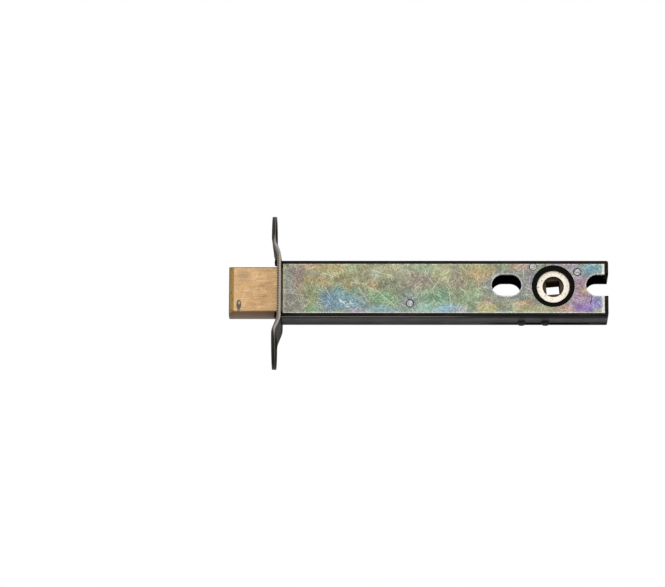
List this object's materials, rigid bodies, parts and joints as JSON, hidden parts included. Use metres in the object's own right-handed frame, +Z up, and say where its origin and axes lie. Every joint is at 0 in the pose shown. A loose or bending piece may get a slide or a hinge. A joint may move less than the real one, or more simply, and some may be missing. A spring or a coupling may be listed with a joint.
{
  "type": "tubular deadbolt",
  "caption": "Slim boxed mortice deadbolt with a round-ended forend, a sliding brass bolt and a square-spindle follower that throws and draws it.",
  "frame": {"origin": "midway between the forend's two screw holes, on the front plane of its ears", "axes": "+X into the door along the case, from the bolt to the tail; +Y along the spindle, from the plate to the back of the case; +Z up along the forend"},
  "size_m": [0.1401, 0.025, 0.0576],
  "materials": {
    "black_forend": "black",
    "black_case": "satin",
    "passivated_plate": "zinc plated and passivated, iridescent",
    "rivet_steel": "bright",
    "black_nylon": "satin",
    "spring_steel": "spring steel",
    "brass": "as drawn, matte",
    "brass_rivet": "filed flush",
    "strip_steel": "zinc plated",
    "cast_zinc": "zinc casting"
  },
  "bodies": {
    "case": {"forend": "black_forend", "case_channel": "black_case", "cover_plate": "passivated_plate", "guide_pillar": "rivet_steel", "spring_pillar_front": "rivet_steel", "spring_pillar_rear": "rivet_steel", "front_bush": "black_nylon", "back_bush": "black_nylon", "detent_spring": "spring_steel"},
    "bolt": {"bolt_head": "brass", "tail_bar": "strip_steel", "bolt_rivet_front": "brass_rivet", "bolt_rivet_rear": "brass_rivet", "drive_pin": "strip_steel"},
    "follower_hub": {"follower": "cast_zinc"}
  },
  "joints": [
    {"name": "bolt_slide", "type": "slide", "parent": "case", "child": "bolt", "axis": [1, 0, 0], "range_m": [0, 0.0142]},
    {"name": "follower_turn", "type": "hinge", "parent": "case", "child": "follower_hub", "pos_m": [0.1038, 0, 0.00088], "axis": [0, -1, 0], "range_deg": [0, 90], "deforming": ["detent_spring"]}
  ],
  "couplings": [
    {"joint": "follower_turn", "follows": "bolt_slide", "rad_per_m": 110.6}
  ]
}
